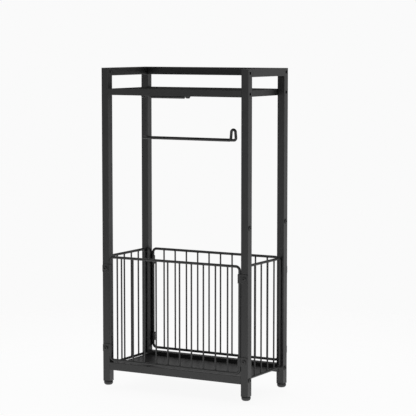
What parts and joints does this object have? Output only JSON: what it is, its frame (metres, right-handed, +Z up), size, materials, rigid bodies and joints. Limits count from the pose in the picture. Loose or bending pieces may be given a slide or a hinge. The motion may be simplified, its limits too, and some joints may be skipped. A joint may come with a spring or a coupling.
{
  "type": "free-standing toilet paper holder",
  "caption": "Free-standing bathroom stand of square tube with a guarded top shelf, a paper roll arm with an end loop, and a wire basket for spare rolls.",
  "frame": {"origin": "on the floor, under the middle of the frame", "axes": "+Z up; +Y towards the back guard rail, so the front is -Y; +X to the right of a person facing the front"},
  "size_m": [0.3304, 0.17, 0.6292],
  "materials": {
    "powder_coated_steel": "semi-gloss black powder coat",
    "black_board": "black laminated board, satin",
    "black_plastic": "moulded, matt",
    "black_fastener": "black oxide, satin",
    "zinc_steel": "bright zinc plate"
  },
  "bodies": {
    "frame": {"lower_post_front_left": "powder_coated_steel", "lower_post_front_right": "powder_coated_steel", "lower_post_rear_left": "powder_coated_steel", "lower_post_rear_right": "powder_coated_steel", "upper_post_front_left": "powder_coated_steel", "upper_post_front_right": "powder_coated_steel", "upper_post_rear_left": "powder_coated_steel", "upper_post_rear_right": "powder_coated_steel", "top_rail_left": "powder_coated_steel", "top_rail_right": "powder_coated_steel", "top_rail_back": "powder_coated_steel", "bottom_rail_front": "powder_coated_steel", "bottom_rail_rear": "powder_coated_steel", "basket_panel_front": "powder_coated_steel", "basket_panel_rear": "powder_coated_steel", "basket_panel_left": "powder_coated_steel", "basket_panel_right": "powder_coated_steel", "panel_lugs_front": "powder_coated_steel", "panel_lugs_rear": "powder_coated_steel", "basket_floor": "powder_coated_steel", "arm_top_leg": "powder_coated_steel", "arm_drop": "powder_coated_steel", "arm_bar": "powder_coated_steel", "arm_end_loop": "powder_coated_steel", "post_caps": "black_plastic", "foot_plugs": "black_plastic", "splice_bolts": "black_fastener", "top_rail_screws": "black_fastener", "bottom_rail_bolts": "black_fastener", "lug_screws": "black_fastener", "floor_screws": "black_fastener", "shelf_screws": "black_fastener", "arm_screws": "black_fastener", "splice_sleeves": "zinc_steel", "splice_nuts": "zinc_steel", "top_rail_inserts": "zinc_steel", "bottom_rail_inserts": "zinc_steel", "lug_nuts": "zinc_steel", "shelf_board": "black_board"},
    "foot_front_left": {"foot_pad_front_left": "black_plastic", "foot_stud_front_left": "zinc_steel"},
    "foot_front_right": {"foot_pad_front_right": "black_plastic", "foot_stud_front_right": "zinc_steel"},
    "foot_rear_left": {"foot_pad_rear_left": "black_plastic", "foot_stud_rear_left": "zinc_steel"},
    "foot_rear_right": {"foot_pad_rear_right": "black_plastic", "foot_stud_rear_right": "zinc_steel"}
  },
  "joints": [
    {"name": "foot_level_front_left", "type": "slide", "parent": "frame", "child": "foot_front_left", "axis": [0, 0, -1], "range_m": [0, 0.008]},
    {"name": "foot_level_front_right", "type": "slide", "parent": "frame", "child": "foot_front_right", "axis": [0, 0, -1], "range_m": [0, 0.008]},
    {"name": "foot_level_rear_left", "type": "slide", "parent": "frame", "child": "foot_rear_left", "axis": [0, 0, -1], "range_m": [0, 0.008]},
    {"name": "foot_level_rear_right", "type": "slide", "parent": "frame", "child": "foot_rear_right", "axis": [0, 0, -1], "range_m": [0, 0.008]}
  ]
}
